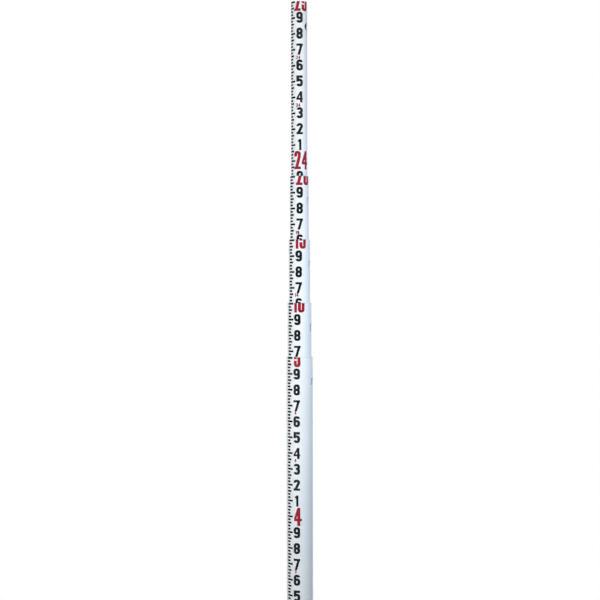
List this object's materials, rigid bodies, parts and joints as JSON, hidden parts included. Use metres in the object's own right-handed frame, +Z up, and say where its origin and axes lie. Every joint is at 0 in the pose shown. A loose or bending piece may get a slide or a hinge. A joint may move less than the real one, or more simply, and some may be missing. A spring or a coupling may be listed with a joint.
{
  "type": "leveling staff",
  "caption": "Round fibreglass leveling staff in nested telescoping sections with foot and tenth graduations, spring lock buttons and a steel foot.",
  "frame": {"origin": "middle of the foot's lower face, which is the zero of the scale", "axes": "+Z up along the staff; the scale faces -Y; the lock holes face +X; the keying flat is on +Y"},
  "size_m": [0.051, 0.05, 2.2075],
  "materials": {
    "gel_coat": "gloss",
    "scale_black": "gloss",
    "scale_red": "gloss",
    "plug_nylon": "matte",
    "cap_plastic": "matte",
    "rivet_alloy": "satin",
    "button_alloy": "satin",
    "spring_steel": "satin",
    "bumper_rubber": "matte",
    "wear_plate_steel": "satin",
    "shoe_alloy": "satin",
    "screw_steel": "satin"
  },
  "bodies": {
    "section_1": {"section_1_tube": "gel_coat", "foot_plate": "wear_plate_steel", "foot_shoe": "shoe_alloy", "foot_screws": "screw_steel", "foot_rivets": "rivet_alloy", "foot_bumper": "bumper_rubber"},
    "section_2": {"section_2_tube": "gel_coat", "section_2_plug": "plug_nylon", "section_2_rivets": "rivet_alloy", "button_spring_2": "spring_steel", "section_2_bumper": "bumper_rubber"},
    "section_3": {"section_3_tube": "gel_coat", "section_3_plug": "plug_nylon", "section_3_rivets": "rivet_alloy", "button_spring_3": "spring_steel", "section_3_bumper": "bumper_rubber"},
    "section_4": {"section_4_tube": "gel_coat", "section_4_plug": "plug_nylon", "section_4_rivets": "rivet_alloy", "button_spring_4": "spring_steel", "section_4_bumper": "bumper_rubber"},
    "section_5": {"section_5_tube": "gel_coat", "section_5_plug": "plug_nylon", "section_5_rivets": "rivet_alloy", "button_spring_5": "spring_steel", "top_cap": "cap_plastic"},
    "button_2": {"lock_button_2": "button_alloy"},
    "button_3": {"lock_button_3": "button_alloy"},
    "button_4": {"lock_button_4": "button_alloy"},
    "button_5": {"lock_button_5": "button_alloy"}
  },
  "joints": [
    {"name": "section_2_slide", "type": "slide", "parent": "section_1", "child": "section_2", "axis": [0, 0, 1], "range_m": [0, 1.4198]},
    {"name": "section_3_slide", "type": "slide", "parent": "section_2", "child": "section_3", "axis": [0, 0, 1], "range_m": [0, 1.402]},
    {"name": "section_4_slide", "type": "slide", "parent": "section_3", "child": "section_4", "axis": [0, 0, 1], "range_m": [0, 1.402]},
    {"name": "section_5_slide", "type": "slide", "parent": "section_4", "child": "section_5", "axis": [0, 0, 1], "range_m": [-0.2133, 1.1887]},
    {"name": "button_2_press", "type": "slide", "parent": "section_2", "child": "button_2", "axis": [-1, 0, 0], "range_m": [0, 0.003], "stiffness_N_per_m": 500, "springref_m": -0.0054, "deforming": ["button_spring_2"]},
    {"name": "button_3_press", "type": "slide", "parent": "section_3", "child": "button_3", "axis": [-1, 0, 0], "range_m": [0, 0.003], "stiffness_N_per_m": 500, "springref_m": -0.0054, "deforming": ["button_spring_3"]},
    {"name": "button_4_press", "type": "slide", "parent": "section_4", "child": "button_4", "axis": [-1, 0, 0], "range_m": [0, 0.003], "stiffness_N_per_m": 500, "springref_m": -0.0054, "deforming": ["button_spring_4"]},
    {"name": "button_5_press", "type": "slide", "parent": "section_5", "child": "button_5", "axis": [-1, 0, 0], "range_m": [0, 0.003], "stiffness_N_per_m": 500, "springref_m": -0.0054, "deforming": ["button_spring_5"]}
  ]
}
